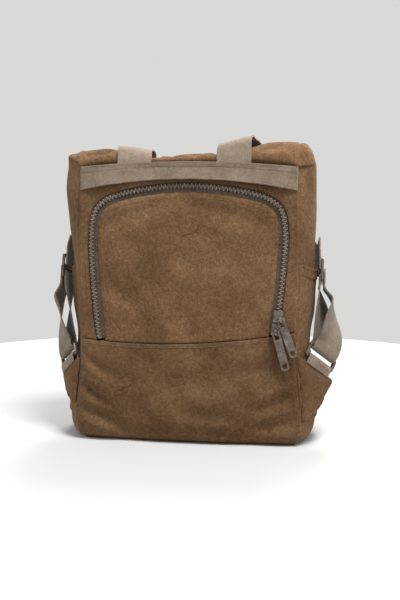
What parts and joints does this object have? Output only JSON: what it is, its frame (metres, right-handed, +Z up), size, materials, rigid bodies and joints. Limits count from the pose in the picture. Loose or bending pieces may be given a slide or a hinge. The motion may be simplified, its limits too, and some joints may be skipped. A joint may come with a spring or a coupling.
{
  "type": "anti theft backpack",
  "caption": "Soft suede backpack with an arched double-slider front zip, webbing band, side wings with rings and adjustable webbing shoulder straps.",
  "frame": {"origin": "on the floor under the middle of the base", "axes": "+Z up along the bag's height, front towards -Y, +X to the right as seen from the front"},
  "size_m": [0.3348, 0.1539, 0.3455],
  "materials": {
    "suede": "matte brushed suede cloth with soft mottled nap",
    "webbing": "matte woven taupe webbing",
    "zip_tape": "matte woven zip tape",
    "zip_teeth": "satin moulded taupe teeth",
    "hardware": "satin taupe plated metal"
  },
  "bodies": {
    "bag": {"base_panel": "suede", "front_lower": "suede", "front_frame": "suede", "front_door": "suede", "zip_tape": "zip_tape", "zip_chain": "zip_teeth", "top_band": "webbing", "top_panel": "suede", "back_panel": "suede", "gusset_left": "suede", "side_pocket_left": "suede", "wing_left": "suede", "ring_tab_left": "webbing", "ring_left": "hardware", "strap_slide_left": "hardware", "strap_loop_left": "webbing", "shoulder_strap_left": "webbing", "gusset_right": "suede", "side_pocket_right": "suede", "wing_right": "suede", "ring_tab_right": "webbing", "ring_right": "hardware", "strap_slide_right": "hardware", "strap_loop_right": "webbing", "shoulder_strap_right": "webbing", "zip_slider_upper": "hardware", "zip_slider_lower": "hardware"},
    "pull_upper": {"zip_pull_upper": "hardware"},
    "pull_lower": {"zip_pull_lower": "hardware"}
  },
  "joints": [
    {"name": "pull_upper_swing", "type": "hinge", "parent": "bag", "child": "pull_upper", "pos_m": [0.10503, -0.06073, 0.14573], "axis": [-0.9396, -0.0195, -0.3416], "range_deg": [0, 150]},
    {"name": "pull_lower_swing", "type": "hinge", "parent": "bag", "child": "pull_lower", "pos_m": [0.09991, -0.06124, 0.13166], "axis": [-0.9659, -0.0121, -0.2586], "range_deg": [0, 110]}
  ]
}
